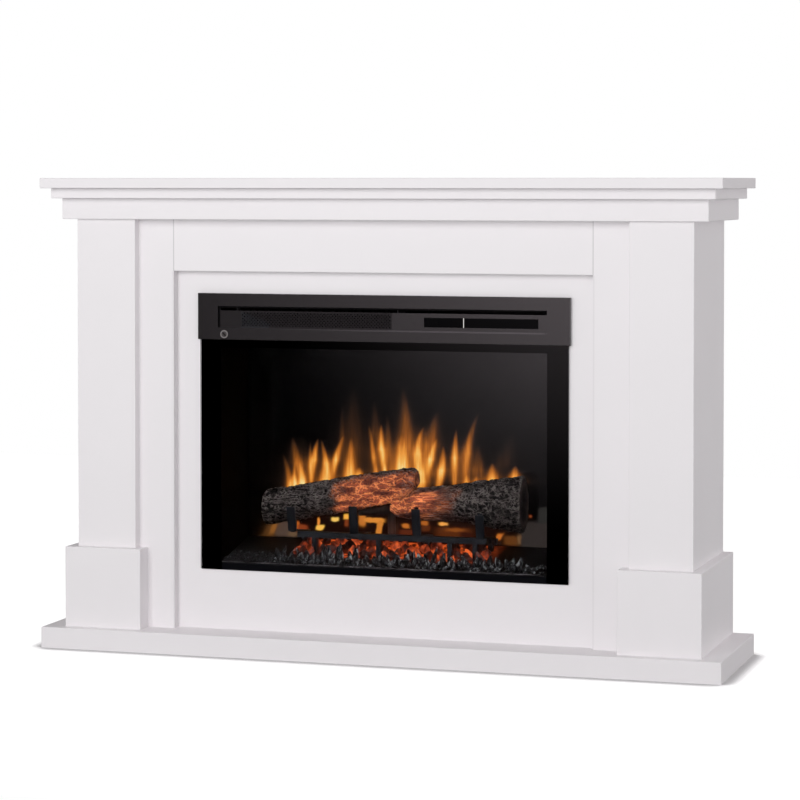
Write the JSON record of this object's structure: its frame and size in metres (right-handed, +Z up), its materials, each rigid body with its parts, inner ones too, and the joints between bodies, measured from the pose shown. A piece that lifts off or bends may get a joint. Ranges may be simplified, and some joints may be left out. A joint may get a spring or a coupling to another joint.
{
  "type": "electric fireplace",
  "caption": "White wooden mantel with columns, a stepped cornice and a plinth, around a glass-fronted electric fire with logs, a fan heater grille and push keys.",
  "frame": {"origin": "middle of the footprint, on the floor", "axes": "+X to the viewer's right, -Y out of the front towards the viewer, +Z up"},
  "size_m": [1.23, 0.308, 0.839],
  "materials": {
    "mantel_paint": "satin white paint on board",
    "raw_board": "unpainted fibreboard",
    "zinc_steel": "bright zinc",
    "black_sheet": "matt black powder coat",
    "charcoal_trim": "satin charcoal",
    "black_mesh": "matt black",
    "front_glass": "clear with a black printed border",
    "flame_acrylic": "smoked diffusing sheet",
    "gloss_black": "gloss black",
    "key_plastic": "satin black",
    "circuit_board": "green resist",
    "black_plastic": "moulded",
    "lamp": "amber lens",
    "ember_resin": "translucent amber moulding",
    "coal_resin": "painted resin",
    "log_resin": "painted resin, glowing inside",
    "grate_plastic": "moulded to look like iron",
    "bright_aluminium": "mill",
    "motor_steel": "laminated and plated"
  },
  "bodies": {
    "fireplace": {"angle_brackets": "zinc_steel", "base_plinth": "mantel_paint", "blower_motor": "motor_steel", "bracket_screws": "zinc_steel", "branch_log": "log_resin", "casing_back": "black_sheet", "casing_bottom": "black_sheet", "casing_left": "black_sheet", "casing_right": "black_sheet", "casing_screws": "zinc_steel", "casing_top": "black_sheet", "coals": "coal_resin", "control_bezel": "gloss_black", "control_board": "circuit_board", "control_plate": "charcoal_trim", "cord_gland": "black_plastic", "cornice_front_rail": "mantel_paint", "cornice_left_return": "mantel_paint", "cornice_middle_board": "mantel_paint", "cornice_right_return": "mantel_paint", "cover_screw": "charcoal_trim", "ember_bed": "ember_resin", "flame_motor": "motor_steel", "flame_screen": "flame_acrylic", "front_frame": "black_sheet", "glass_pane": "front_glass", "header_board": "mantel_paint", "heater_deck": "black_sheet", "heater_housing": "zinc_steel", "heating_element": "bright_aluminium", "insert_panel": "mantel_paint", "insert_support_shelf": "raw_board", "key_switches": "black_plastic", "led_boards": "circuit_board", "leds": "lamp", "left_column": "mantel_paint", "left_liner": "black_sheet", "left_log": "log_resin", "left_plinth_block": "mantel_paint", "left_stile": "mantel_paint", "log_grate": "grate_plastic", "lower_back_rail": "raw_board", "mantel_shelf": "mantel_paint", "outlet_grille": "black_mesh", "panel_battens": "raw_board", "right_column": "mantel_paint", "right_liner": "black_sheet", "right_log": "log_resin", "right_plinth_block": "mantel_paint", "right_stile": "mantel_paint", "rod_brackets": "zinc_steel", "shelf_bearers": "raw_board", "trim_fascia": "charcoal_trim", "upper_back_rail": "raw_board"},
    "flicker_rod": {"flicker_shaft": "zinc_steel", "flicker_blades": "bright_aluminium"},
    "blower_rotor": {"blower_impeller": "bright_aluminium"},
    "power_key": {"power_key": "key_plastic"},
    "heat_key": {"heat_key": "key_plastic"},
    "flame_key": {"flame_key": "key_plastic"}
  },
  "joints": [
    {"name": "flicker_spin", "type": "hinge", "parent": "fireplace", "child": "flicker_rod", "pos_m": [0, 0.1005, 0.19], "axis": [1, 0, 0], "continuous": true},
    {"name": "blower_spin", "type": "hinge", "parent": "fireplace", "child": "blower_rotor", "pos_m": [0, -0.003, 0.5825], "axis": [1, 0, 0], "continuous": true},
    {"name": "power_key_press", "type": "slide", "parent": "fireplace", "child": "power_key", "axis": [0, 1, 0], "range_m": [0, 0.001], "stiffness_N_per_m": 400, "springref_m": -0.0005},
    {"name": "heat_key_press", "type": "slide", "parent": "fireplace", "child": "heat_key", "axis": [0, 1, 0], "range_m": [0, 0.001], "stiffness_N_per_m": 400, "springref_m": -0.0005},
    {"name": "flame_key_press", "type": "slide", "parent": "fireplace", "child": "flame_key", "axis": [0, 1, 0], "range_m": [0, 0.001], "stiffness_N_per_m": 400, "springref_m": -0.0005}
  ]
}
